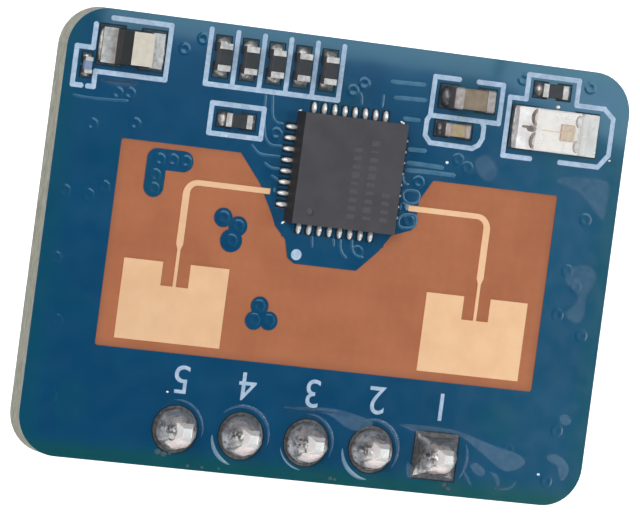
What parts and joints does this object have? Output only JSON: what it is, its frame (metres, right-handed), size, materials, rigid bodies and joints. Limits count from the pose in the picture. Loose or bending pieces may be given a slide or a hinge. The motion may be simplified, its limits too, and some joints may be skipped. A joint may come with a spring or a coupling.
{
  "type": "microwave radar sensor module",
  "caption": "Small blue circuit board with two patch antennas, a square radar chip and a row of header pins behind it.",
  "frame": {"origin": "middle of the pin row, on the underside of the header's plastic strip", "axes": "+Z the way the antennas look, +X along the board's long side, +Y from the pin row across the board; the pins point along -Z"},
  "size_m": [0.022, 0.016, 0.0109],
  "materials": {
    "band_print": "cream print",
    "blue_grey_ceramic": "blue-grey ceramic",
    "blue_mask": "blue lacquer, glossy",
    "capacitor_ceramic": "tan ceramic, satin",
    "clear_resin": "clear cast resin",
    "crystal_can": "welded metal lid on ceramic",
    "gilded_copper": "copper with a thin gold finish",
    "laminate": "glass-epoxy laminate, brown, satin",
    "lamp_base_white": "white laminate",
    "lamp_die": "amber chip",
    "moulded_epoxy": "dark grey moulding compound",
    "outline_print": "pale screen print",
    "pin_plating": "tinned square wire",
    "resistor_ceramic": "alumina with a black glaze",
    "silver_plating": "silver plating",
    "solder": "bright tin solder",
    "strip_plastic": "black moulded plastic",
    "tinned_metal": "matt tin"
  },
  "bodies": {
    "root": {"back_capacitor_bodies": "capacitor_ceramic", "back_capacitor_ends": "tinned_metal", "back_lands": "gilded_copper", "back_solder": "solder", "back_solder_mask": "blue_mask", "chip_side_resistor_body": "resistor_ceramic", "chip_side_resistor_ends": "tinned_metal", "circuit_board": "laminate", "crystal_case": "crystal_can", "decoupling_capacitor_body": "capacitor_ceramic", "decoupling_capacitor_ends": "tinned_metal", "edge_capacitor_body": "blue_grey_ceramic", "edge_capacitor_ends": "tinned_metal", "front_lands": "gilded_copper", "front_legend": "outline_print", "front_solder": "solder", "front_solder_mask": "blue_mask", "header_hole_plating": "gilded_copper", "header_pin_1": "pin_plating", "header_pin_2": "pin_plating", "header_pin_3": "pin_plating", "header_pin_4": "pin_plating", "header_pin_5": "pin_plating", "header_strip": "strip_plastic", "input_diode_band": "band_print", "input_diode_body": "moulded_epoxy", "input_diode_tabs": "tinned_metal", "lamp_resistor_body": "resistor_ceramic", "lamp_resistor_ends": "tinned_metal", "left_patch_antenna": "gilded_copper", "microcontroller_body": "moulded_epoxy", "microcontroller_terminals": "tinned_metal", "radar_chip_body": "moulded_epoxy", "radar_chip_solder": "solder", "radar_chip_terminals": "tinned_metal", "regulator_body": "moulded_epoxy", "regulator_leads": "tinned_metal", "right_patch_antenna": "gilded_copper", "row_resistor_1_body": "resistor_ceramic", "row_resistor_1_ends": "tinned_metal", "row_resistor_2_body": "resistor_ceramic", "row_resistor_2_ends": "tinned_metal", "row_resistor_3_body": "resistor_ceramic", "row_resistor_3_ends": "tinned_metal", "row_resistor_4_body": "resistor_ceramic", "row_resistor_4_ends": "tinned_metal", "row_resistor_5_body": "resistor_ceramic", "row_resistor_5_ends": "tinned_metal", "solder_joint_1": "solder", "solder_joint_2": "solder", "solder_joint_3": "solder", "solder_joint_4": "solder", "solder_joint_5": "solder", "status_lamp_base": "lamp_base_white", "status_lamp_die": "lamp_die", "status_lamp_lens": "clear_resin", "status_lamp_terminals": "silver_plating", "supply_capacitor_body": "capacitor_ceramic", "supply_capacitor_ends": "tinned_metal"}
  },
  "joints": []
}
